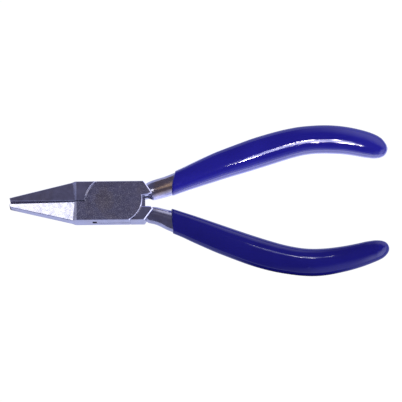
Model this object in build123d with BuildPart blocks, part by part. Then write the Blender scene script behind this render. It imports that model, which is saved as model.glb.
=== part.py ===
from build123d import *
import math
import os

# Box-joint jewellery pliers: two forged levers, a flush rivet and two dipped sleeves.
# Frame: origin on the rivet's axis, on the joint's lower flat face. +X runs to the handles,
# +Y to the handle of the box lever, +Z up through the joint. Millimetres.

# ---------------------------------------------------------------- driving dimensions
T = 9.0                      # thickness of the joint over its two flat faces
ZM = T / 2                   # mid-plane of the whole tool
HALF_W = 6.8                 # half width of the joint
TIP_X = -35.6                # end of the jaws
TIP_HALF = 1.56              # half width of the closed nose at its tip
NOSE_X = -13.35               # where the outer walls start to taper
NOSE_R = 1.2                 # soft corner there
FACET_X = -12.5              # edge where the flat joint face ends and the nose facets start
FACET_BEVEL = 45.0           # steepness of the short bevel at that edge, degrees
FACET_BASE_OUT = 3.15        # half thickness of the nose at its base, outer edge
FACET_BASE_IN = 3.85         # half thickness of the nose at its base, inner edge
FACET_TIP_OUT = 2.70         # half thickness of the nose at its tip, outer edge
JAW_GAP_THROAT = 0.20        # jaw faces, each from the middle line, pliers as they lie
JAW_GAP_TIP = 0.47

SLOT = 2.90                  # window between the cheeks
WEB = 2.80                   # web that runs in it
UC, UR = (-0.45, -0.74), 9.18   # shoulder arc towards the jaws, on the cheeks
LC, LR = (1.57, 0.65), 8.58     # shoulder arc towards the handles, on the cheeks
SHOULDER_GAP = 0.10          # room between a cheek's arc and the other lever's shoulder

PIN_R = 2.20                 # rivet
PIN_CLEAR = 0.04             # radial running clearance in the web's bore
HEAD_R = 2.90                # rivet's spread head at the face
HEAD_H = 0.70                # depth of its countersink

GRIP_FRONT = 20.6            # rim of the dipped sleeves
EDGE = 0.15                  # broken edge on the long sides
ARC_EDGE = 0.32              # chamfer on the shoulder arcs and the slanted ends

# Stations of the four handle bodies: x, y, direction in degrees, width, thickness.
UPPER_TANG = [
    (11.3, 3.85, 12.0, 4.0, 4.6),
    (13.4, 4.12, 18.0, 6.45, 5.8),
    (16.2, 4.92, 17.5, 6.9, 6.1),
    (18.97, 5.76, 19.0, 6.95, 6.1),
    (20.6, 6.36, 20.5, 6.95, 6.1),
    (25.03, 8.18, 22.0, 7.05, 6.1),
    (33.05, 11.32, 20.4, 7.3, 6.1),
    (45.0, 15.49, 17.9, 7.7, 6.1),
    (57.0, 19.22, 15.2, 7.7, 6.1),
    (65.0, 21.12, 8.8, 7.5, 6.0),
    (73.0, 21.68, -0.5, 7.3, 5.9),
    (81.0, 21.07, -8.9, 6.9, 5.7),
    (87.0, 19.78, -13.0, 6.2, 5.2),
    (90.0, 19.02, -13.0, 5.1, 4.4),
]
LOWER_TANG = [
    (11.3, -3.95, -8.0, 3.6, 4.6),
    (13.4, -4.38, -12.0, 5.7, 5.7),
    (16.2, -5.08, -17.0, 6.05, 6.0),
    (18.97, -6.06, -20.0, 6.75, 6.1),
    (20.6, -6.62, -21.0, 7.15, 6.1),
    (25.03, -8.24, -22.5, 7.3, 6.1),
    (33.04, -11.58, -22.0, 7.5, 6.1),
    (45.0, -16.26, -19.4, 7.6, 6.1),
    (57.0, -20.04, -13.8, 7.5, 6.1),
    (65.0, -21.43, -5.5, 7.3, 6.0),
    (73.0, -21.42, 4.7, 7.0, 5.9),
    (81.0, -20.13, 12.4, 6.4, 5.7),
    (87.0, -18.56, 14.5, 5.7, 5.2),
    (90.0, -17.8, 14.0, 4.7, 4.4),
]
UPPER_GRIP = [
    (18.5, 5.55, 20.0, 7.5, 6.9),
    (22.0, 6.95, 21.5, 7.9, 7.3),
    (25.03, 8.18, 22.0, 8.27, 7.7),
    (29.05, 9.78, 21.8, 8.85, 8.1),
    (33.05, 11.32, 20.4, 9.44, 8.5),
    (37.02, 12.83, 19.0, 9.9, 8.8),
    (41.0, 14.18, 18.3, 10.2, 8.9),
    (45.0, 15.49, 17.9, 10.5, 9.0),
    (49.0, 16.82, 17.6, 10.7, 9.0),
    (53.0, 18.05, 16.8, 10.72, 9.0),
    (57.0, 19.22, 15.2, 10.62, 9.0),
    (61.0, 20.28, 12.5, 10.42, 9.0),
    (65.0, 21.12, 8.8, 10.26, 9.0),
    (69.0, 21.56, 4.3, 10.12, 8.9),
    (73.0, 21.68, -0.5, 10.14, 8.9),
    (77.0, 21.5, -5.0, 10.04, 8.9),
    (81.0, 21.07, -8.9, 9.75, 8.8),
    (85.0, 20.3, -12.4, 9.42, 8.6),
    (88.9, 19.28, -14.0, 8.8, 8.1),
    (91.4, 18.62, -9.5, 7.8, 7.2),
    (93.0, 18.33, -4.5, 6.4, 6.0),
    (94.05, 18.22, 0.0, 4.6, 4.4),
    (94.7, 18.18, 0.0, 2.5, 2.4),
    (94.95, 18.18, 0.0, 1.0, 1.0),
]
LOWER_GRIP = [
    (18.5, -5.84, -20.0, 7.88, 6.9),
    (22.0, -7.06, -21.5, 8.18, 7.3),
    (25.03, -8.24, -22.5, 8.48, 7.7),
    (29.04, -9.92, -22.8, 8.97, 8.1),
    (33.04, -11.58, -22.0, 9.33, 8.5),
    (37.02, -13.22, -21.1, 9.66, 8.8),
    (41.01, -14.75, -20.3, 9.86, 8.9),
    (45.0, -16.26, -19.4, 10.02, 9.0),
    (49.0, -17.68, -18.3, 10.2, 9.0),
    (53.0, -18.94, -16.5, 10.2, 9.0),
    (57.0, -20.04, -13.8, 10.0, 9.0),
    (61.0, -20.86, -10.2, 9.76, 9.0),
    (65.0, -21.43, -5.5, 9.62, 8.9),
    (69.0, -21.64, -0.4, 9.52, 8.9),
    (73.0, -21.42, 4.7, 9.34, 8.8),
    (77.0, -20.88, 9.1, 9.03, 8.7),
    (81.0, -20.13, 12.4, 8.68, 8.4),
    (85.0, -19.15, 14.2, 8.22, 8.0),
    (88.9, -18.02, 14.0, 7.55, 7.3),
    (91.4, -17.42, 9.0, 6.75, 6.6),
    (93.0, -17.14, 4.0, 5.65, 5.6),
    (94.05, -17.04, 0.0, 4.15, 4.1),
    (94.7, -17.0, 0.0, 2.3, 2.3),
    (94.95, -17.0, 0.0, 1.0, 1.0),
]


# ---------------------------------------------------------------- small helpers
def on_arc(centre, radius, y, side):
    """Point of a circle at height y, on its left (-1) or right (+1)."""
    return (centre[0] + side * math.sqrt(radius**2 - (y - centre[1]) ** 2), y)


def even_stations(stations, step, last_x):
    """Evenly spaced stations on smooth curves through the given ones, up to last_x."""
    along = [0.0]
    for a, b in zip(stations, stations[1:]):
        along.append(along[-1] + math.hypot(b[0] - a[0], b[1] - a[1]))
    count = len(stations)
    keep = max(i for i in range(count) if stations[i][0] <= last_x + 1e-6)

    def slope(k, column):
        if k == 0:
            return (stations[1][column] - stations[0][column]) / (along[1] - along[0])
        if k == count - 1:
            return (stations[k][column] - stations[k - 1][column]) / (
                along[k] - along[k - 1]
            )
        before, after = along[k] - along[k - 1], along[k + 1] - along[k]
        left = (stations[k][column] - stations[k - 1][column]) / before
        right = (stations[k + 1][column] - stations[k][column]) / after
        return (left * after + right * before) / (before + after)

    def value(s, column):
        k = max(i for i in range(count - 1) if along[i] <= s + 1e-9)
        h = along[k + 1] - along[k]
        t = (s - along[k]) / h
        a, b = stations[k][column], stations[k + 1][column]
        return (
            (2 * t**3 - 3 * t**2 + 1) * a
            + (t**3 - 2 * t**2 + t) * h * slope(k, column)
            + (3 * t**2 - 2 * t**3) * b
            + (t**3 - t**2) * h * slope(k + 1, column)
        )

    pieces = max(1, round(along[keep] / step))
    result = [
        tuple(value(along[keep] * i / pieces, column) for column in range(5))
        for i in range(pieces + 1)
    ]
    return result + list(stations[keep + 1 :])


def station_plane(station):
    """Plane square to a handle's centre line, its x across the handle, its y up."""
    x, y, angle = station[0], station[1], math.radians(station[2])
    return Plane(
        origin=(x, y, ZM),
        x_dir=(-math.sin(angle), math.cos(angle), 0),
        z_dir=(math.cos(angle), math.sin(angle), 0),
    )


def facet_plane(side):
    """Upper facet of a jaw; side is +1 for the jaw at +Y and -1 for the jaw at -Y."""
    x0 = FACET_X - 0.9
    inner = Vector(x0, 0, ZM + FACET_BASE_IN)
    outer = Vector(x0, side * HALF_W, ZM + FACET_BASE_OUT)
    tip = Vector(TIP_X, side * TIP_HALF, ZM + FACET_TIP_OUT)
    normal = (outer - inner).cross(tip - inner)
    if normal.Z < 0:
        normal = normal * -1
    return Plane(origin=inner, x_dir=(tip - outer), z_dir=normal)


def nose_edges(part):
    """Long edges of a jaw where its facets meet the outer wall, the inner face and the tip."""
    return part.edges().filter_by(
        lambda e: (e @ 0).X < FACET_X - 0.3
        and (e @ 1).X < FACET_X - 0.3
        and (e @ 0.5).X < FACET_X - 1.5
        and abs((e @ 0).Z - (e @ 1).Z) < 1.6
        and abs((e @ 0.5).Z - ZM) > 1.0
    )


def face_edges(part, test):
    """Edges that lie in one of the two flat joint faces and pass the test."""
    return part.edges().filter_by(
        lambda e: (
            all(abs(v.Z) < 1e-4 for v in (e @ 0, e @ 0.5, e @ 1))
            or all(abs(v.Z - T) < 1e-4 for v in (e @ 0, e @ 0.5, e @ 1))
        )
        and test(e.center())
    )


BEVEL_PLANE = Plane(
    origin=(FACET_X, 0, T),
    x_dir=(0, 1, 0),
    z_dir=(-math.sin(math.radians(FACET_BEVEL)), 0, math.cos(math.radians(FACET_BEVEL))),
)

# ---------------------------------------------------------------- tools used by several pieces
# What is ground off a jaw above its facet, and the same below.
with BuildPart() as facet_off_low_jaw:
    with BuildSketch(facet_plane(-1)):
        Rectangle(90, 60)
    extrude(amount=12)
    split(bisect_by=BEVEL_PLANE, keep=Keep.TOP)
    mirror(about=Plane.XY.offset(ZM))

with BuildPart() as facet_off_high_jaw:
    with BuildSketch(facet_plane(1)):
        Rectangle(90, 60)
    extrude(amount=12)
    split(bisect_by=BEVEL_PLANE, keep=Keep.TOP)
    mirror(about=Plane.XY.offset(ZM))

# Steel cores of the two handles, lofted through oval sections.
with BuildPart() as upper_core:
    for station in even_stations(UPPER_TANG, 2.6, 90.0):
        with BuildSketch(station_plane(station)):
            Ellipse(station[3] / 2, station[4] / 2)
    loft()

with BuildPart() as lower_core:
    for station in even_stations(LOWER_TANG, 2.6, 90.0):
        with BuildSketch(station_plane(station)):
            Ellipse(station[3] / 2, station[4] / 2)
    loft()

# ---------------------------------------------------------------- box lever
u_top = on_arc(UC, UR, HALF_W, -1)
u_throat = on_arc(UC, UR, -JAW_GAP_THROAT, -1)
u_mid = on_arc(UC, UR, 3.6, -1)
l_low = on_arc(LC, LR, -HALF_W, 1)
l_crotch = on_arc(LC, LR, 1.78, 1)
l_mid = on_arc(LC, LR, -3.0, 1)

with BuildPart() as box_lever:
    with BuildSketch(Plane.XY) as box_plan:
        with BuildLine():
            ThreePointArc(l_low, l_mid, l_crotch)
            Polyline(
                l_crotch,
                (12.35, 2.12),
                (13.50, 2.62),
                (11.15, 6.25),
                (10.70, HALF_W),
                u_top,
            )
            ThreePointArc(u_top, u_mid, u_throat)
            Polyline(
                u_throat,
                (TIP_X + 0.15, -JAW_GAP_TIP),
                (TIP_X, -JAW_GAP_TIP - 0.25),
                (TIP_X, -TIP_HALF),
                (NOSE_X, -HALF_W),
                l_low,
            )
        make_face()
    extrude(amount=T)
    # soft corner where the outer wall starts to taper, and the round outer tip corner
    fillet(
        box_lever.edges()
        .filter_by(Axis.Z)
        .filter_by(lambda e: abs(e.center().X - NOSE_X) < 0.01),
        radius=NOSE_R,
    )
    fillet(
        box_lever.edges()
        .filter_by(Axis.Z)
        .filter_by(
            lambda e: abs(e.center().X - TIP_X) < 0.01
            and abs(e.center().Y + TIP_HALF) < 0.01
        ),
        radius=0.75,
    )
    # long edges only broken, shoulder arcs and slanted end chamfered
    chamfer(
        face_edges(
            box_lever, lambda c: abs(abs(c.Y) - HALF_W) < 0.01 and abs(c.X) < 5.5
        ),
        length=EDGE,
    )
    chamfer(
        face_edges(box_lever, lambda c: c.X > 5.5 or (c.X < -6.0 and c.Y > 0)),
        length=ARC_EDGE,
    )
    add(facet_off_low_jaw.part, mode=Mode.SUBTRACT)
    chamfer(nose_edges(box_lever), length=EDGE)
    add(upper_core.part)
    # window for the web, with its run-outs at the throat and at the crotch
    with BuildSketch(Plane.XY.offset(ZM - SLOT / 2)):
        with BuildLine():
            Polyline(
                (-6.07, -8.25),
                (-11.60, -0.20),
                (-13.30, 2.27),
                (-13.30, 8.50),
                (5.57, 7.76),
                (13.40, 2.20),
                (13.40, -8.25),
                close=True,
            )
        make_face()
    extrude(amount=SLOT, mode=Mode.SUBTRACT)
    # rivet hole with a countersink in each cheek
    with Locations((0, 0, T), Location((0, 0, 0), (180, 0, 0))):
        CounterSinkHole(
            radius=PIN_R,
            counter_sink_radius=HEAD_R,
            counter_sink_angle=2 * math.degrees(math.atan((HEAD_R - PIN_R) / HEAD_H)),
            depth=T / 2,
        )
box_lever.part.label = "box_lever"

# ---------------------------------------------------------------- through lever
su = UR + SHOULDER_GAP
sl = LR + SHOULDER_GAP
m_top = on_arc(UC, su, HALF_W, -1)
m_mid = on_arc(UC, su, 3.6, -1)
m_throat = on_arc(UC, su, JAW_GAP_THROAT, -1)
n_low = on_arc(LC, sl, -HALF_W, 1)
n_mid = on_arc(LC, sl, -4.4, 1)
n_crotch = on_arc(LC, sl, -2.04, 1)

with BuildPart() as through_lever:
    # upper jaw
    with BuildSketch(Plane.XY) as jaw_plan:
        with BuildLine():
            ThreePointArc(m_top, m_mid, m_throat)
            Polyline(
                m_throat,
                (TIP_X + 0.30, JAW_GAP_TIP),
                (TIP_X, TIP_HALF),
                (NOSE_X, HALF_W),
                m_top,
            )
        make_face()
    extrude(amount=T)
    fillet(
        through_lever.edges()
        .filter_by(Axis.Z)
        .filter_by(lambda e: abs(e.center().X - NOSE_X) < 0.01),
        radius=NOSE_R,
    )
    chamfer(
        face_edges(through_lever, lambda c: -12.0 < c.X < -6.0 and c.Y > 0.3),
        length=EDGE,
    )
    add(facet_off_high_jaw.part, mode=Mode.SUBTRACT)
    chamfer(nose_edges(through_lever), length=EDGE)
    # shoulder behind the joint
    with BuildSketch(Plane.XY) as shoulder_plan:
        with BuildLine():
            ThreePointArc(n_low, n_mid, n_crotch)
            Polyline(
                n_crotch,
                (13.1, -2.04),
                (13.85, -2.85),
                (11.30, -6.22),
                (10.88, -HALF_W),
                n_low,
            )
        make_face()
    extrude(amount=T)
    chamfer(
        face_edges(
            through_lever,
            lambda c: (c.X > 11.0 and -HALF_W + 0.05 < c.Y)
            or (c.X > 9.0 and c.Y > -2.1),
        ),
        length=ARC_EDGE,
    )
    chamfer(
        face_edges(through_lever, lambda c: 5.0 < c.X < 10.0 and c.Y < -2.6),
        length=EDGE,
    )
    add(lower_core.part)
    # web through the window
    with BuildSketch(Plane.XY.offset(ZM - WEB / 2)):
        with BuildLine():
            Polyline(
                (-7.0, HALF_W - 0.05),
                (5.5, HALF_W - 0.05),
                (11.10, 1.90),
                (11.10, -2.60),
                (7.0, -HALF_W + 0.05),
                (-5.5, -HALF_W + 0.05),
                (-10.20, -1.80),
                (-10.20, 1.00),
                close=True,
            )
        make_face()
    extrude(amount=WEB)
    with Locations((0, 0, ZM + WEB / 2)):
        Hole(radius=PIN_R + PIN_CLEAR, depth=WEB)
through_lever.part.label = "through_lever"

# ---------------------------------------------------------------- rivet
with BuildPart() as joint_pin:
    with BuildSketch(Plane.XZ):
        with BuildLine():
            Polyline(
                (0, 0),
                (HEAD_R, 0),
                (PIN_R, HEAD_H),
                (PIN_R, T - HEAD_H),
                (HEAD_R, T),
                (0, T),
                close=True,
            )
        make_face()
    revolve(axis=Axis.Z)
joint_pin.part.label = "joint_pin"

# ---------------------------------------------------------------- dipped sleeves
with BuildPart() as upper_grip:
    for station in even_stations(UPPER_GRIP, 3.9, 88.9):
        with BuildSketch(station_plane(station)):
            Ellipse(station[3] / 2, station[4] / 2)
    loft()
    split(bisect_by=Plane.YZ.offset(GRIP_FRONT), keep=Keep.TOP)
    add(upper_core.part, mode=Mode.SUBTRACT)
upper_grip.part.label = "upper_grip"

with BuildPart() as lower_grip:
    for station in even_stations(LOWER_GRIP, 3.9, 88.9):
        with BuildSketch(station_plane(station)):
            Ellipse(station[3] / 2, station[4] / 2)
    loft()
    split(bisect_by=Plane.YZ.offset(GRIP_FRONT), keep=Keep.TOP)
    add(lower_core.part, mode=Mode.SUBTRACT)
lower_grip.part.label = "lower_grip"

# ---------------------------------------------------------------- files
os.makedirs("parts", exist_ok=True)
export_step(box_lever.part, "parts/box_lever.step")
export_step(through_lever.part, "parts/through_lever.step")
export_step(joint_pin.part, "parts/joint_pin.step")
export_step(upper_grip.part, "parts/upper_grip.step")
export_step(lower_grip.part, "parts/lower_grip.step")
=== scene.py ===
import math

import bpy
import numpy as np
from mathutils import Matrix, Vector


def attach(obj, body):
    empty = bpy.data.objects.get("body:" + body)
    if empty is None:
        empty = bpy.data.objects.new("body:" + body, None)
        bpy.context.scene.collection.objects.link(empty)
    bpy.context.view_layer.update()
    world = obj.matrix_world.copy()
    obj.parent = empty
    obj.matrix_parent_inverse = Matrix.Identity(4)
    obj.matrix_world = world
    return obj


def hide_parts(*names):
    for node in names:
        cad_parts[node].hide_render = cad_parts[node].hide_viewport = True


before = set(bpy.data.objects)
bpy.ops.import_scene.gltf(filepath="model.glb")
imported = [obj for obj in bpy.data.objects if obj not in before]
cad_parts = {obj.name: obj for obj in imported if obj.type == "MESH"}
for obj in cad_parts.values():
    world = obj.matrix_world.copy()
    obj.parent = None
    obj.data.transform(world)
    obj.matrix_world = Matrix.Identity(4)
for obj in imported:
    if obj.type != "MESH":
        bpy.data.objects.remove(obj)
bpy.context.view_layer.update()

MM = 0.001
ZM = 4.5  # mid-plane of the tool, mm

# ------------------------------------------------------------------ camera
# Straight down on the tool, leaning a little towards -Y, the tool turned very slightly.
scene = bpy.context.scene
CAM_TILT = math.radians(11.6)
CAM_ROLL = math.radians(0.57)
CAM_LENS = 500.0
PX_PER_MM = 2.9
DIST = 402 / PX_PER_MM * MM * CAM_LENS / 36.0
TARGET = Vector((30.34 * MM, 0.40 * MM, ZM * MM))

cam_data = bpy.data.cameras.new("camera")
cam_data.lens = CAM_LENS
cam_data.sensor_width = 36.0
cam_data.clip_start = 0.02
cam_data.clip_end = 50.0
cam = bpy.data.objects.new("camera", cam_data)
scene.collection.objects.link(cam)
back = Vector((0.0, -math.sin(CAM_TILT), math.cos(CAM_TILT)))
right = Vector((math.cos(CAM_ROLL), 0.0, 0.0)) - back.cross(Vector((1, 0, 0))) * math.sin(CAM_ROLL)
right.normalize()
up = back.cross(right).normalized()
cam.matrix_world = Matrix.Translation(TARGET + back * DIST) @ Matrix(
    ((right.x, up.x, back.x, 0), (right.y, up.y, back.y, 0), (right.z, up.z, back.z, 0), (0, 0, 0, 1))
)
scene.camera = cam
scene.view_settings.view_transform = "Standard"
scene.view_settings.look = "None"
scene.view_settings.exposure = 0.0
scene.view_settings.gamma = 1.0


# ------------------------------------------------------------------ node helpers
def new_material(name):
    m = bpy.data.materials.new(name)
    m.use_nodes = True
    nt = m.node_tree
    nt.nodes.clear()
    out = nt.nodes.new("ShaderNodeOutputMaterial")
    bsdf = nt.nodes.new("ShaderNodeBsdfPrincipled")
    nt.links.new(bsdf.outputs["BSDF"], out.inputs["Surface"])
    return m, nt, bsdf


def object_coords(nt, scale=(1, 1, 1), rotation=(0, 0, 0)):
    """Object coordinates in millimetres, stretched by scale."""
    tc = nt.nodes.new("ShaderNodeTexCoord")
    mp = nt.nodes.new("ShaderNodeMapping")
    mp.vector_type = "POINT"
    mp.inputs["Scale"].default_value = [1000 * s for s in scale]
    mp.inputs["Rotation"].default_value = rotation
    nt.links.new(tc.outputs["Object"], mp.inputs["Vector"])
    return mp.outputs["Vector"]


def noise(nt, vector, scale, detail=3.0, rough=0.55, distortion=0.0):
    n = nt.nodes.new("ShaderNodeTexNoise")
    n.inputs["Scale"].default_value = scale
    n.inputs["Detail"].default_value = detail
    n.inputs["Roughness"].default_value = rough
    n.inputs["Distortion"].default_value = distortion
    nt.links.new(vector, n.inputs["Vector"])
    return n.outputs["Fac"]


def ranged(nt, value, a, b, c, d, smooth=False):
    """value from a..b to c..d, clamped."""
    r = nt.nodes.new("ShaderNodeMapRange")
    r.interpolation_type = "SMOOTHSTEP" if smooth else "LINEAR"
    r.clamp = True
    for key, v in zip(("From Min", "From Max", "To Min", "To Max"), (a, b, c, d)):
        r.inputs[key].default_value = v
    nt.links.new(value, r.inputs["Value"])
    return r.outputs["Result"]


def math_node(nt, op, a, b=None, clamp=False):
    n = nt.nodes.new("ShaderNodeMath")
    n.operation = op
    n.use_clamp = clamp
    for i, v in enumerate((a, b)):
        if v is None:
            continue
        if isinstance(v, (int, float)):
            n.inputs[i].default_value = v
        else:
            nt.links.new(v, n.inputs[i])
    return n.outputs[0]


def mix_colour(nt, factor, a, b):
    n = nt.nodes.new("ShaderNodeMix")
    n.data_type = "RGBA"
    n.clamp_factor = True
    if isinstance(factor, (int, float)):
        n.inputs["Factor"].default_value = factor
    else:
        nt.links.new(factor, n.inputs["Factor"])
    for key, v in (("A", a), ("B", b)):
        socket = [s for s in n.inputs if s.name == key and s.type == "RGBA"][0]
        if isinstance(v, tuple):
            socket.default_value = (*v, 1.0)
        else:
            nt.links.new(v, socket)
    return [s for s in n.outputs if s.type == "RGBA"][0]


def axis_value(nt, vector, axis):
    s = nt.nodes.new("ShaderNodeSeparateXYZ")
    nt.links.new(vector, s.inputs[0])
    return s.outputs[axis]


# ------------------------------------------------------------------ bare steel
def steel_material(name, tint, tint_worn, rough_flat, rough_shank, shank_from):
    """Ground and polished steel: fine grinding lines along the tool on the flats, smoother and brighter on the
    drawn shanks, cloudy handling marks, a few hairline scratches, and a painted warm reflection, brown, on top of
    the upper shank."""
    m, nt, bsdf = new_material(name)
    mm = object_coords(nt)
    along = object_coords(nt, scale=(0.06, 1.0, 1.0))
    cross = object_coords(nt, scale=(1.0, 0.10, 1.0), rotation=(0, 0, math.radians(24)))
    x = axis_value(nt, mm, 0)
    shank = ranged(nt, x, shank_from, shank_from + 1.6, 0.0, 1.0, smooth=True)

    lines = noise(nt, along, 9.0, detail=5.0, rough=0.65)
    hair = noise(nt, cross, 6.0, detail=2.0, rough=0.5)
    hair = ranged(nt, hair, 0.66, 0.72, 0.0, 1.0)
    cloud = noise(nt, mm, 0.22, detail=4.0, rough=0.6, distortion=0.4)
    blot = noise(nt, mm, 0.9, detail=3.0, rough=0.6)

    # colour: cool grey steel, faintly warmer where it has been handled
    worn = ranged(nt, cloud, 0.42, 0.66, 0.0, 0.8, smooth=True)
    colour = mix_colour(nt, worn, tint, tint_worn)
    # a rubbed, warmer patch in the middle of the joint
    y = axis_value(nt, mm, 1)
    dx = math_node(nt, "DIVIDE", math_node(nt, "ADD", x, 3.0), 3.6)
    dy = math_node(nt, "DIVIDE", math_node(nt, "SUBTRACT", y, 0.4), 4.6)
    off = math_node(nt, "ADD", math_node(nt, "MULTIPLY", dx, dx), math_node(nt, "MULTIPLY", dy, dy))
    off = math_node(nt, "ADD", off, ranged(nt, blot, 0.3, 0.7, -0.6, 0.6))
    colour = mix_colour(nt, ranged(nt, off, 0.3, 1.2, 0.75, 0.0, smooth=True), colour, (0.53, 0.49, 0.49))
    # painted warm reflection: the upward-facing top of the upper shank is tinted brown, standing in for warm light
    # falling on it from above
    facing = nt.nodes.new("ShaderNodeNewGeometry").outputs["Normal"]
    upper_shank_top_painted_warm_light = math_node(
        nt, "MULTIPLY", ranged(nt, x, 13.2, 15.0, 0.0, 1.0, smooth=True),
        ranged(nt, y, 0.6, 2.0, 0.0, 1.0, smooth=True),
    )
    upper_shank_top_painted_warm_light = math_node(nt, "MULTIPLY", upper_shank_top_painted_warm_light, ranged(nt, axis_value(nt, facing, 2), 0.62, 0.92, 0.0, 1.0))
    upper_shank_top_painted_warm_light = math_node(nt, "MULTIPLY", upper_shank_top_painted_warm_light, ranged(nt, cloud, 0.30, 0.62, 0.55, 1.0))
    # brown colour of the painted warm reflection on the shank's top
    colour = mix_colour(nt, upper_shank_top_painted_warm_light, colour, (0.60, 0.47, 0.37))
    mottle = noise(nt, mm, 0.42, detail=4.0, rough=0.62)
    lift = math_node(
        nt, "MULTIPLY", ranged(nt, lines, 0.3, 0.7, 0.93, 1.05), ranged(nt, mottle, 0.32, 0.68, 0.84, 1.12)
    )
    bright = nt.nodes.new("ShaderNodeMix")
    bright.data_type = "RGBA"
    bright.blend_type = "MULTIPLY"
    bright.inputs["Factor"].default_value = 1.0
    a = [s for s in bright.inputs if s.name == "A" and s.type == "RGBA"][0]
    b = [s for s in bright.inputs if s.name == "B" and s.type == "RGBA"][0]
    nt.links.new(colour, a)
    comb = nt.nodes.new("ShaderNodeCombineColor")
    for i in range(3):
        nt.links.new(lift, comb.inputs[i])
    nt.links.new(comb.outputs[0], b)
    nt.links.new([s for s in bright.outputs if s.type == "RGBA"][0], bsdf.inputs["Base Color"])

    # roughness: grinding lines and smudges on the flats, smoother shank
    r = math_node(nt, "MULTIPLY", ranged(nt, lines, 0.25, 0.75, -0.05, 0.06), 1.0)
    r = math_node(nt, "ADD", r, ranged(nt, blot, 0.35, 0.7, -0.02, 0.05))
    base = ranged(nt, shank, 0.0, 1.0, rough_flat, rough_shank)
    r = math_node(nt, "ADD", r, base, clamp=True)
    nt.links.new(r, bsdf.inputs["Roughness"])
    bsdf.inputs["Metallic"].default_value = 1.0

    # bump: grinding lines and hairlines, very shallow
    h = math_node(nt, "MULTIPLY", lines, ranged(nt, shank, 0.0, 1.0, 1.0, 0.25))
    h = math_node(nt, "SUBTRACT", h, math_node(nt, "MULTIPLY", hair, 0.35))
    h = math_node(nt, "ADD", h, math_node(nt, "MULTIPLY", blot, 0.10))
    bump = nt.nodes.new("ShaderNodeBump")
    bump.inputs["Strength"].default_value = 0.12
    bump.inputs["Distance"].default_value = 0.00004
    nt.links.new(h, bump.inputs["Height"])
    nt.links.new(bump.outputs["Normal"], bsdf.inputs["Normal"])
    return m


steel = steel_material(
    "ground_steel", (0.50, 0.50, 0.62), (0.49, 0.47, 0.53), 0.19, 0.15, 13.2
)
pin_steel = steel_material(
    "pin_steel", (0.49, 0.49, 0.60), (0.48, 0.47, 0.52), 0.20, 0.20, 99.0
)
for node, mat in (("box_lever", steel), ("through_lever", steel), ("joint_pin", pin_steel)):
    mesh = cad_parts[node].data
    mesh.materials.clear()
    mesh.materials.append(mat)


# ------------------------------------------------------------------ dipped vinyl
def vinyl_material():
    """Glossy dipped vinyl: deep blue, thin places a touch lighter, soft orange peel, faint smudges."""
    m, nt, bsdf = new_material("dipped_vinyl")
    mm = object_coords(nt)
    pool = noise(nt, mm, 0.07, detail=2.0, rough=0.5)
    fine = noise(nt, mm, 2.6, detail=3.0, rough=0.55)
    peel = noise(nt, mm, 0.55, detail=2.0, rough=0.45)
    smudge = noise(nt, mm, 0.16, detail=4.0, rough=0.6, distortion=0.6)
    c = mix_colour(
        nt, ranged(nt, pool, 0.35, 0.65, 0.0, 1.0, smooth=True),
        (0.0080, 0.0065, 0.178), (0.0115, 0.0100, 0.215),
    )
    speck = ranged(nt, fine, 0.30, 0.75, 0.0, 0.35)
    c = mix_colour(nt, speck, c, (0.0150, 0.0130, 0.235))
    nt.links.new(c, bsdf.inputs["Base Color"])
    r = math_node(
        nt, "ADD",
        ranged(nt, smudge, 0.35, 0.70, 0.045, 0.08),
        ranged(nt, fine, 0.3, 0.7, -0.01, 0.015),
    )
    nt.links.new(r, bsdf.inputs["Roughness"])
    bsdf.inputs["IOR"].default_value = 1.52
    bump = nt.nodes.new("ShaderNodeBump")
    bump.inputs["Strength"].default_value = 0.30
    bump.inputs["Distance"].default_value = 0.000010
    h = math_node(nt, "ADD", peel, math_node(nt, "MULTIPLY", fine, 0.10))
    nt.links.new(h, bump.inputs["Height"])
    nt.links.new(bump.outputs["Normal"], bsdf.inputs["Normal"])
    return m


vinyl = vinyl_material()

# Stations of the sleeves and of the steel inside them: x, y, direction, width, thickness, mm.
UPPER_GRIP = [
    (18.5, 5.55, 20.0, 7.5, 6.9), (22.0, 6.95, 21.5, 7.9, 7.3), (25.03, 8.18, 22.0, 8.27, 7.7),
    (29.05, 9.78, 21.8, 8.85, 8.1), (33.05, 11.32, 20.4, 9.44, 8.5), (37.02, 12.83, 19.0, 9.9, 8.8),
    (41.0, 14.18, 18.3, 10.2, 8.9), (45.0, 15.49, 17.9, 10.5, 9.0), (49.0, 16.82, 17.6, 10.7, 9.0),
    (53.0, 18.05, 16.8, 10.72, 9.0), (57.0, 19.22, 15.2, 10.62, 9.0), (61.0, 20.28, 12.5, 10.42, 9.0),
    (65.0, 21.12, 8.8, 10.26, 9.0), (69.0, 21.56, 4.3, 10.12, 8.9), (73.0, 21.68, -0.5, 10.14, 8.9),
    (77.0, 21.5, -5.0, 10.04, 8.9), (81.0, 21.07, -8.9, 9.75, 8.8), (85.0, 20.3, -12.4, 9.42, 8.6),
    (88.9, 19.28, -14.0, 8.8, 8.1), (91.4, 18.62, -9.5, 7.8, 7.2), (93.0, 18.33, -4.5, 6.4, 6.0),
    (94.05, 18.22, 0.0, 4.6, 4.4), (94.7, 18.18, 0.0, 2.5, 2.4), (94.95, 18.18, 0.0, 1.0, 1.0),
]
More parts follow.
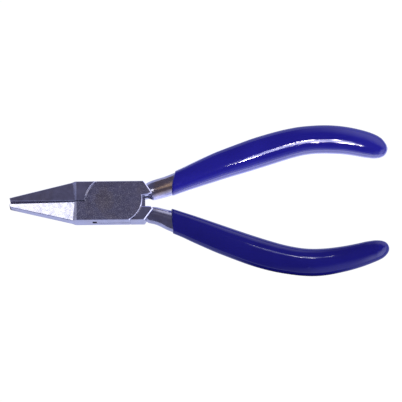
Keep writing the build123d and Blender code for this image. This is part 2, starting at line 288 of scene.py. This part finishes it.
LOWER_GRIP = [
    (18.5, -5.84, -20.0, 7.88, 6.9), (22.0, -7.06, -21.5, 8.18, 7.3), (25.03, -8.24, -22.5, 8.48, 7.7),
    (29.04, -9.92, -22.8, 8.97, 8.1), (33.04, -11.58, -22.0, 9.33, 8.5), (37.02, -13.22, -21.1, 9.66, 8.8),
    (41.01, -14.75, -20.3, 9.86, 8.9), (45.0, -16.26, -19.4, 10.02, 9.0), (49.0, -17.68, -18.3, 10.2, 9.0),
    (53.0, -18.94, -16.5, 10.2, 9.0), (57.0, -20.04, -13.8, 10.0, 9.0), (61.0, -20.86, -10.2, 9.76, 9.0),
    (65.0, -21.43, -5.5, 9.62, 8.9), (69.0, -21.64, -0.4, 9.52, 8.9), (73.0, -21.42, 4.7, 9.34, 8.8),
    (77.0, -20.88, 9.1, 9.03, 8.7), (81.0, -20.13, 12.4, 8.68, 8.4), (85.0, -19.15, 14.2, 8.22, 8.0),
    (88.9, -18.02, 14.0, 7.55, 7.3), (91.4, -17.42, 9.0, 6.75, 6.6), (93.0, -17.14, 4.0, 5.65, 5.6),
    (94.05, -17.04, 0.0, 4.15, 4.1), (94.7, -17.0, 0.0, 2.3, 2.3), (94.95, -17.0, 0.0, 1.0, 1.0),
]
UPPER_TANG = [
    (16.2, 4.92, 17.5, 6.9, 6.1), (18.97, 5.76, 19.0, 6.95, 6.1), (20.6, 6.36, 20.5, 6.95, 6.1),
    (25.03, 8.18, 22.0, 7.05, 6.1), (33.05, 11.32, 20.4, 7.3, 6.1), (45.0, 15.49, 17.9, 7.7, 6.1),
    (57.0, 19.22, 15.2, 7.7, 6.1), (65.0, 21.12, 8.8, 7.5, 6.0), (73.0, 21.68, -0.5, 7.3, 5.9),
    (81.0, 21.07, -8.9, 6.9, 5.7), (87.0, 19.78, -13.0, 6.2, 5.2), (90.0, 19.02, -13.0, 5.1, 4.4),
]
LOWER_TANG = [
    (16.2, -5.08, -17.0, 6.05, 6.0), (18.97, -6.06, -20.0, 6.75, 6.1), (20.6, -6.62, -21.0, 7.15, 6.1),
    (25.03, -8.24, -22.5, 7.3, 6.1), (33.04, -11.58, -22.0, 7.5, 6.1), (45.0, -16.26, -19.4, 7.6, 6.1),
    (57.0, -20.04, -13.8, 7.5, 6.1), (65.0, -21.43, -5.5, 7.3, 6.0), (73.0, -21.42, 4.7, 7.0, 5.9),
    (81.0, -20.13, 12.4, 6.4, 5.7), (87.0, -18.56, 14.5, 5.7, 5.2), (90.0, -17.8, 14.0, 4.7, 4.4),
]


def smooth_curve(stations):
    """Arc length and smooth functions of it for x, y, direction, width and thickness."""
    p = np.array(stations, float)
    s = np.concatenate([[0.0], np.cumsum(np.hypot(np.diff(p[:, 0]), np.diff(p[:, 1])))])
    h = np.diff(s)
    d = np.diff(p, axis=0) / h[:, None]
    m = np.zeros_like(p)
    m[0], m[-1] = d[0], d[-1]
    m[1:-1] = (d[:-1] * h[1:, None] + d[1:] * h[:-1, None]) / (h[:-1] + h[1:])[:, None]

    def at(q):
        q = np.clip(np.asarray(q, float), s[0], s[-1])
        k = np.clip(np.searchsorted(s, q, side="right") - 1, 0, len(s) - 2)
        t = ((q - s[k]) / h[k])[..., None]
        hk = h[k][..., None]
        return (
            (2 * t**3 - 3 * t**2 + 1) * p[k] + (t**3 - 2 * t**2 + t) * hk * m[k]
            + (3 * t**2 - 2 * t**3) * p[k + 1] + (t**3 - t**2) * hk * m[k + 1]
        )

    return s[-1], at


def section(at, s, psi, power=1.0, crown=0.0):
    """Points (mm) of the oval sections: psi 0 is the side at +Y, a quarter turn on is the top.
    crown moves the highest line off the middle, as a share of the half width."""
    v = at(s)
    a = np.radians(v[..., 2])
    c, q = np.cos(psi), np.sin(psi)
    cu = np.sign(c) * np.abs(c) ** power
    qu = np.sign(q) * np.abs(q) ** power
    u = v[..., 3] / 2 * (cu + crown * qu**2)
    w = v[..., 4] / 2 * qu
    return np.stack([v[..., 0] - np.sin(a) * u, v[..., 1] + np.cos(a) * u, ZM + w], -1)


def waves(points, seed, amount, size):
    """Slow, smooth unevenness: a few sine waves in space, the same every run."""
    rng = np.random.default_rng(seed)
    total = np.zeros(points.shape[:-1])
    for _ in range(7):
        k = rng.normal(size=3)
        k = k / np.linalg.norm(k) * 2 * np.pi / (size * rng.uniform(0.7, 1.6))
        total += np.sin(points @ k + rng.uniform(0, 2 * np.pi))
    return total / 7 * amount


def make_grip(name, outer, tang, rim_x, seed, bumps, crown, body, node):
    around, along = 112, 230
    length, at = smooth_curve(outer)
    t_length, t_at = smooth_curve(tang)
    psi = np.linspace(0, 2 * np.pi, around, endpoint=False)

    def start(curve_at, curve_len, targets):
        """Arc length at which each line of the sleeve reaches its rim."""
        found = np.zeros(around)
        grid = np.linspace(0, min(12.0, curve_len), 600)
        for j in range(around):
            xs = section(curve_at, grid, np.full(len(grid), psi[j]))[:, 0]
            found[j] = np.interp(targets[j], xs, grid)
        return found

    rim = rim_x(psi)
    s_rim = start(at, length, rim)
    t_rim = start(t_at, t_length, rim - 0.02)
    # even steps along, closer towards the rounded end
    u = np.linspace(0, 1, along)
    u = 1 - (1 - u) ** 1.25
    rings = []
    for i in range(along):
        s = s_rim + (length - s_rim) * u[i]
        rings.append(section(at, s, psi, 0.97, crown))
    outer_pts = np.array(rings)
    # outward normals of the smooth sleeve, by differences
    d_along = np.gradient(outer_pts, axis=0)
    d_around = np.roll(outer_pts, -1, 1) - np.roll(outer_pts, 1, 1)
    n = np.cross(d_around, d_along)
    n /= np.maximum(np.linalg.norm(n, axis=-1, keepdims=True), 1e-9)
    centre = outer_pts.mean(1, keepdims=True)
    flip = np.sign(((outer_pts - centre) * n).sum(-1, keepdims=True))
    n *= np.where(flip == 0, 1, flip)
    fade = np.clip((1 - u) / 0.03, 0, 1)[:, None] * np.clip(u / 0.04, 0.25, 1)[:, None]
    lift = waves(outer_pts, seed, 0.10, 26.0) + waves(outer_pts, seed + 1, 0.022, 9.0)
    lift = np.minimum(lift - 0.055, 0.0) * fade
    for (bx, by, bz, br, bh) in bumps:
        dist = np.linalg.norm(outer_pts - np.array((bx, by, bz)), axis=-1)
        lift = lift + bh * np.exp(-((dist / br) ** 2))
    outer_pts = outer_pts + n * lift[..., None]

    # lip: the coat rounds over to the steel within about half a millimetre
    inner0 = section(t_at, t_rim, psi)
    lip = []
    first, second = outer_pts[0], outer_pts[1]
    for k in range(1, 8):
        a = k / 8 * math.pi / 2
        # quarter round from the outer surface down to the steel
        base = inner0 + (first - inner0) * math.cos(a) ** 0.9
        ahead = np.zeros_like(base)
        ahead[:, 0] = -0.32 * math.sin(a)
        lip.append(base + ahead)
    # inner wall on the steel core
    t_end = t_length - 0.3
    inner = []
    steps = 40
    for i in range(steps):
        s = t_rim + (t_end - t_rim) * (i / (steps - 1))
        ring = section(t_at, s, psi)
        if i == 0:
            ring = ring.copy()
            ring[:, 0] -= 0.30
        inner.append(ring)
    rings_all = list(outer_pts[::-1]) + lip + inner
    verts = np.concatenate(rings_all)
    tip = section(at, np.array([length]), np.array([0.0]))[0]
    tip = np.array([outer[-1][0], outer[-1][1], ZM])
    end_in = inner[-1].mean(0)
    count = len(rings_all)
    faces = []
    for i in range(count - 1):
        for j in range(around):
            k = (j + 1) % around
            faces.append((i * around + j, (i + 1) * around + j, (i + 1) * around + k, i * around + k))
    tip_i = count * around
    end_i = tip_i + 1
    for j in range(around):
        k = (j + 1) % around
        faces.append((tip_i, j, k))
        faces.append((end_i, (count - 1) * around + k, (count - 1) * around + j))
    mesh = bpy.data.meshes.new(name)
    mesh.from_pydata((np.vstack([verts, tip, end_in]) * MM).tolist(), [], faces)
    mesh.validate()
    import bmesh
    bm = bmesh.new()
    bm.from_mesh(mesh)
    bmesh.ops.recalc_face_normals(bm, faces=bm.faces)
    bm.to_mesh(mesh)
    bm.free()
    for p in mesh.polygons:
        p.use_smooth = True
    mesh.materials.append(vinyl)
    obj = bpy.data.objects.new(name, mesh)
    scene.collection.objects.link(obj)
    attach(obj, body)
    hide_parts(node)
    return obj


def upper_rim(psi):
    # psi 0 is the outer side, pi the inner side: the coat starts further back on the outer side
    c = np.cos(psi)
    return 20.35 + 0.75 * (0.5 + 0.5 * c) ** 1.4 * 1.9 + 0.55 * np.clip(-c - 0.35, 0, 1)


def lower_rim(psi):
    c = np.cos(psi)
    return 20.35 + 0.55 * (0.5 - 0.5 * c) + 0.06 * np.sin(3 * psi)


upper_skin = make_grip(
    "upper_grip_skin", UPPER_GRIP, UPPER_TANG, upper_rim, 11,
    [(91.0, 16.6, 8.3, 0.35, 0.10), (90.2, 20.2, 8.5, 0.3, 0.08)], -0.20, "box_half", "upper_grip",
)
lower_skin = make_grip(
    "lower_grip_skin", LOWER_GRIP, LOWER_TANG, lower_rim, 23,
    [(66.9, -23.9, 8.2, 0.40, 0.14), (91.3, -16.6, 8.2, 0.35, 0.12), (90.7, -18.6, 8.1, 0.3, 0.10)],
    0.20, "through_half", "lower_grip",
)

# ------------------------------------------------------------------ floor: even white to the camera, a dimmer glow with painted shade to every other ray
def lerp_rgb(nt, factor, a, b):
    return mix_colour(nt, factor, a, b)


bpy.ops.mesh.primitive_plane_add(size=6.0, location=(0.03, 0.0, -0.00002))
floor = bpy.context.object
floor.name = "floor"
m = bpy.data.materials.new("floor")
m.use_nodes = True
nt = m.node_tree
nt.nodes.clear()
out = nt.nodes.new("ShaderNodeOutputMaterial")
seen = nt.nodes.new("ShaderNodeEmission")
seen.inputs["Color"].default_value = (1.0, 1.0, 1.0, 1)
seen.inputs["Strength"].default_value = 1.03
# every other ray sees this glow instead: dimmer and lavender, painted shade of the floor near the tool, with
# painted dark patches
floor_glow_painted_shade = nt.nodes.new("ShaderNodeEmission")
geo = nt.nodes.new("ShaderNodeNewGeometry")


def floor_spot(x, y, rx, ry):
    """1 at a spot of the floor (mm), falling smoothly to 0 at its rim."""
    mp = nt.nodes.new("ShaderNodeMapping")
    mp.vector_type = "TEXTURE"
    mp.inputs["Location"].default_value = (x * MM, y * MM, 0)
    mp.inputs["Scale"].default_value = (rx * MM, ry * MM, 1)
    nt.links.new(geo.outputs["Position"], mp.inputs["Vector"])
    ln = nt.nodes.new("ShaderNodeVectorMath")
    ln.operation = "LENGTH"
    nt.links.new(mp.outputs["Vector"], ln.inputs[0])
    return ranged(nt, ln.outputs["Value"], 0.55, 1.0, 1.0, 0.0, smooth=True)


# the floor's glow for reflections: painted shade, dimmer and bluer than the camera's white
FLOOR_GLOW_PAINTED_SHADE = (0.58, 0.62, 0.93)
# painted shadow: a dark patch on the floor in front of the lower handle, which the handle's near side reflects
c = mix_colour(nt, floor_spot(60.0, -44.0, 36.0, 30.0), FLOOR_GLOW_PAINTED_SHADE, (0.02, 0.02, 0.035))
# painted shadow: a thin dark strip on the floor under the gap between the jaws
c = mix_colour(nt, floor_spot(-26.0, -1.0, 22.0, 1.9), c, (0.03, 0.02, 0.05))
# painted shade: the floor far behind on the left is darker
c = mix_colour(nt, floor_spot(-700.0, 140.0, 640.0, 420.0), c, (0.16, 0.15, 0.20))
nt.links.new(c, floor_glow_painted_shade.inputs["Color"])
# camera rays see the even white; every other ray sees the glow with the painted shade
lp = nt.nodes.new("ShaderNodeLightPath")
mx = nt.nodes.new("ShaderNodeMixShader")
nt.links.new(lp.outputs["Is Camera Ray"], mx.inputs[0])
nt.links.new(floor_glow_painted_shade.outputs[0], mx.inputs[1])
nt.links.new(seen.outputs[0], mx.inputs[2])
nt.links.new(mx.outputs[0], out.inputs["Surface"])
floor.data.materials.append(m)

# ------------------------------------------------------------------ light
world = bpy.data.worlds.new("studio")
scene.world = world
world.use_nodes = True
nt = world.node_tree
nt.nodes.clear()
wout = nt.nodes.new("ShaderNodeOutputWorld")
direction = nt.nodes.new("ShaderNodeTexCoord").outputs["Generated"]


def lobe(centre, inner, outer, colour):
    """A soft patch of light in the room: full within inner degrees, gone at outer."""
    d = Vector(centre).normalized()
    dot = nt.nodes.new("ShaderNodeVectorMath")
    dot.operation = "DOT_PRODUCT"
    nt.links.new(direction, dot.inputs[0])
    dot.inputs[1].default_value = d
    f = ranged(
        nt, dot.outputs["Value"], math.cos(math.radians(outer)), math.cos(math.radians(inner)),
        0.0, 1.0, smooth=True,
    )
    sc = nt.nodes.new("ShaderNodeVectorMath")
    sc.operation = "SCALE"
    sc.inputs[0].default_value = colour
    nt.links.new(f, sc.inputs["Scale"])
    return sc.outputs[0]


def add_up(parts):
    total = parts[0]
    for p in parts[1:]:
        a = nt.nodes.new("ShaderNodeVectorMath")
        a.operation = "ADD"
        nt.links.new(total, a.inputs[0])
        nt.links.new(p, a.inputs[1])
        total = a.outputs[0]
    return total


room = add_up([
    lobe((0, 0, 1), 170, 181, (0.110, 0.105, 0.176)),       # the room itself
    lobe((0.60, 0.72, 0.10), 16, 50, (1.00, 1.00, 1.15)),   # window, behind right
    lobe((0.89, -0.44, 0.10), 22, 46, (1.45, 1.50, 1.85)),  # wall, right
    lobe((0.45, -0.86, 0.10), 10, 48, (0.42, 0.45, 0.66)),  # front right
    lobe((-0.72, 0.69, -0.05), 8, 30, (0.26, 0.26, 0.32)),  # behind left
])
bg_room = nt.nodes.new("ShaderNodeBackground")
nt.links.new(room, bg_room.inputs["Color"])
bg_room.inputs["Strength"].default_value = 1.0
bg_seen = nt.nodes.new("ShaderNodeBackground")
bg_seen.inputs["Color"].default_value = (0.93, 0.94, 0.97, 1)
bg_seen.inputs["Strength"].default_value = 1.0
lp = nt.nodes.new("ShaderNodeLightPath")
mixw = nt.nodes.new("ShaderNodeMixShader")
nt.links.new(lp.outputs["Is Camera Ray"], mixw.inputs[0])
nt.links.new(bg_room.outputs[0], mixw.inputs[1])
nt.links.new(bg_seen.outputs[0], mixw.inputs[2])
nt.links.new(mixw.outputs[0], wout.inputs[0])


def only(obj):
    """A collection of one piece, for lights that reach that piece alone."""
    c = bpy.data.collections.new("lit_" + obj.name)
    c.objects.link(obj)
    return c


# for lights that nothing may shade: a collection that leaves every piece out
unblocked = bpy.data.collections.new("nothing_in_the_way")
for piece in (upper_skin, lower_skin, floor, *(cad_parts[n] for n in ("box_lever", "through_lever", "joint_pin"))):
    unblocked.objects.link(piece)
for entry in unblocked.collection_objects:
    entry.light_linking.link_state = "EXCLUDE"


def panel(name, x0, x1, y0, y1, height, radiance, colour=(1, 1, 1), target=None, down=True,
          gloss=True):
    """A level rectangular light, mm: from x0 to x1 and y0 to y1, at the given height."""
    data = bpy.data.lights.new(name, "AREA")
    data.shape = "RECTANGLE"
    data.size, data.size_y = (x1 - x0) * MM, (y1 - y0) * MM
    data.energy = radiance * math.pi * data.size * data.size_y
    data.color = colour
    obj = bpy.data.objects.new(name, data)
    obj.location = ((x0 + x1) / 2 * MM, (y0 + y1) / 2 * MM, height * MM)
    if not down:
        obj.rotation_euler = (math.pi, 0, 0)
    obj.visible_camera = False
    scene.collection.objects.link(obj)
    if target is not None:
        obj.light_linking.receiver_collection = target
    obj.visible_glossy = gloss
    return obj


def wall_panel(name, x0, x1, y, z0, z1, radiance, colour, target):
    """An upright rectangular light that faces +Y, for one piece, with nothing in its way."""
    data = bpy.data.lights.new(name, "AREA")
    data.shape = "RECTANGLE"
    data.size, data.size_y = (x1 - x0) * MM, (z1 - z0) * MM
    data.energy = radiance * math.pi * data.size * data.size_y
    data.color = colour
    obj = bpy.data.objects.new(name, data)
    obj.location = ((x0 + x1) / 2 * MM, y * MM, (z0 + z1) / 2 * MM)
    obj.rotation_euler = (math.radians(90), 0, 0)
    obj.visible_camera = False
    scene.collection.objects.link(obj)
    obj.light_linking.receiver_collection = target
    obj.light_linking.blocker_collection = unblocked
    return obj


def edge_panel(name, start, toward, away, width, tall, radiance, colour, target):
    """A light for the fine bright edges: away mm from start along a direction, facing back,
    for one collection, with nothing in its way."""
    d = Vector(toward).normalized()
    data = bpy.data.lights.new(name, "AREA")
    data.shape = "RECTANGLE"
    data.size, data.size_y = width * MM, tall * MM
    data.energy = radiance * math.pi * data.size * data.size_y
    data.color = colour
    obj = bpy.data.objects.new(name, data)
    obj.location = (Vector(start) + d * away) * MM
    obj.rotation_mode = "QUATERNION"
    obj.rotation_quaternion = d.to_track_quat("Z", "Y")
    obj.visible_camera = False
    scene.collection.objects.link(obj)
    obj.light_linking.receiver_collection = target
    obj.light_linking.blocker_collection = unblocked
    return obj


on_upper, on_lower = only(upper_skin), only(lower_skin)
on_box = only(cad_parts["box_lever"])
on_box.objects.link(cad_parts["joint_pin"])
on_through = only(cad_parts["through_lever"])
on_steel = bpy.data.collections.new("lit_levers")
for node in ("box_lever", "through_lever"):
    on_steel.objects.link(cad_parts[node])
# overhead softbox, left: fills the lower jaw's facet
panel("softbox_left", -190, -42, -120, 20, 500, 3.2, (0.97, 0.98, 1.0), on_box)
# broad fill for the colour of the sleeves
panel("fill", -500, 600, -300, 700, 900, 1.0, (0.95, 0.95, 1.0), gloss=False)
# long overhead lights that draw the streaks on the sleeves
panel("streak_u0", 66, 114, -10, 110, 500, 12.0, (0.62, 0.66, 1.0), on_upper)
panel("streak_u1", 83, 97, -50, 135, 500, 150.0, (1.0, 0.89, 0.98), on_upper)
panel("streak_l0", 56, 100, 36, 90, 500, 3.0, (0.66, 0.70, 1.0), on_lower)
panel("streak_l1", 73, 80, 28, 80, 500, 110.0, (1.0, 0.94, 1.0), on_lower)
# light off the bench between the handles, on the inner side of the upper handle
panel("bench_glow", 10, 110, -15, 24, 0.3, 1.45, (0.86, 0.88, 1.0), on_upper, down=False)
wall_panel("bench_far", -60, 190, -100, -75, 24, 1.6, (0.86, 0.88, 1.0), on_upper)
wall_panel("shank_glow", 14, 60, -30, -110, 12, 0.72, (0.90, 0.95, 1.45), on_box)
panel("shank_warm", 16, 36, -4, 48, 60, 0.30, (1.0, 0.80, 0.55), on_box)
# low light that the bevelled edges of the joint catch
edge_panel("edge_right", (9.5, -2.0, 9.0), (0.90, -0.42, -0.13), 120, 90, 50, 1.3, (0.95, 0.97, 1.1), on_steel)
edge_panel("edge_far", (9.5, 5.0, 9.0), (0.73, 0.68, -0.095), 120, 70, 50, 1.3, (1.0, 1.0, 1.1), on_steel)
edge_panel("edge_left", (-10.0, 3.0, 9.0), (-0.79, 0.60, -0.13), 120, 50, 50, 0.45, (1.0, 0.98, 1.05), on_steel)
edge_panel("edge_nose", (-12.9, -1.6, 8.7), (-0.979, 0.203, -0.02), 120, 40, 40, 0.32, (1.0, 1.0, 1.1), on_box)
panel("soft_through", -120, 90, 20, 270, 500, 0.045, (1.0, 1.0, 1.1), on_through)
